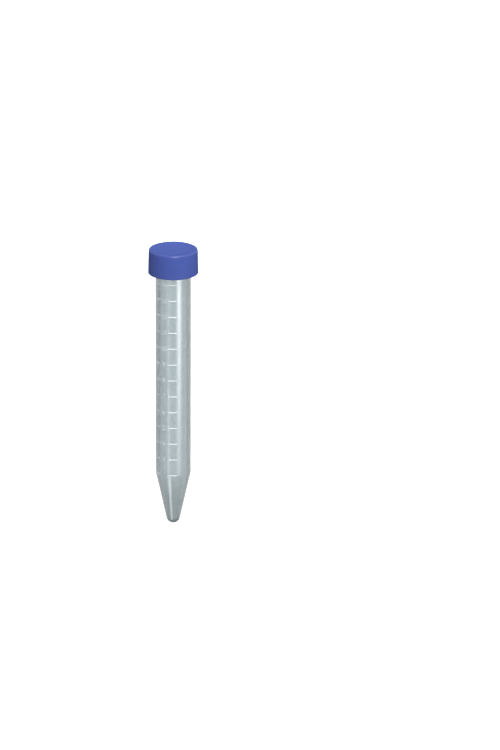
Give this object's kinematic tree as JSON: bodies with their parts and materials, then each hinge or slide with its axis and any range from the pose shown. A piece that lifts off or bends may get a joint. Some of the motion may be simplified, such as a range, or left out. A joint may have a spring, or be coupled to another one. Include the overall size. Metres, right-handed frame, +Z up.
{
  "type": "conical centrifuge tube",
  "caption": "Clear round tube with a conical bottom, a graduated wall and a blue screw cap, for holding and spinning liquid samples.",
  "frame": {"origin": "centre of the footprint, on the bench that the tube lies on", "axes": "+X from the tip towards the cap, +Z up from the bench and out of the graduated side; the tube's own axis rises by 1.9 degrees towards the cap, which is wider than the tube"},
  "size_m": [0.1267, 0.0216, 0.0218],
  "materials": {
    "clear_plastic": "clear, glossy, faintly grey-green",
    "seal": "matte off-white",
    "blue_plastic": "satin blue"
  },
  "bodies": {
    "tube": {"tube": "clear_plastic"},
    "liner": {"liner": "seal"},
    "cap": {"cap": "blue_plastic"}
  },
  "joints": [
    {"name": "cap_rise", "type": "slide", "parent": "tube", "child": "liner", "axis": [0.9994, 0, 0.0337], "range_m": [0, 0.0083]},
    {"name": "cap_turn", "type": "hinge", "parent": "liner", "child": "cap", "pos_m": [0.05946, 0, 0.01109], "axis": [0.9994, 0, 0.0337], "range_deg": [0, 990]}
  ],
  "couplings": [
    {"joint": "cap_rise", "follows": "cap_turn", "m_per_rad": 0.00047746}
  ]
}
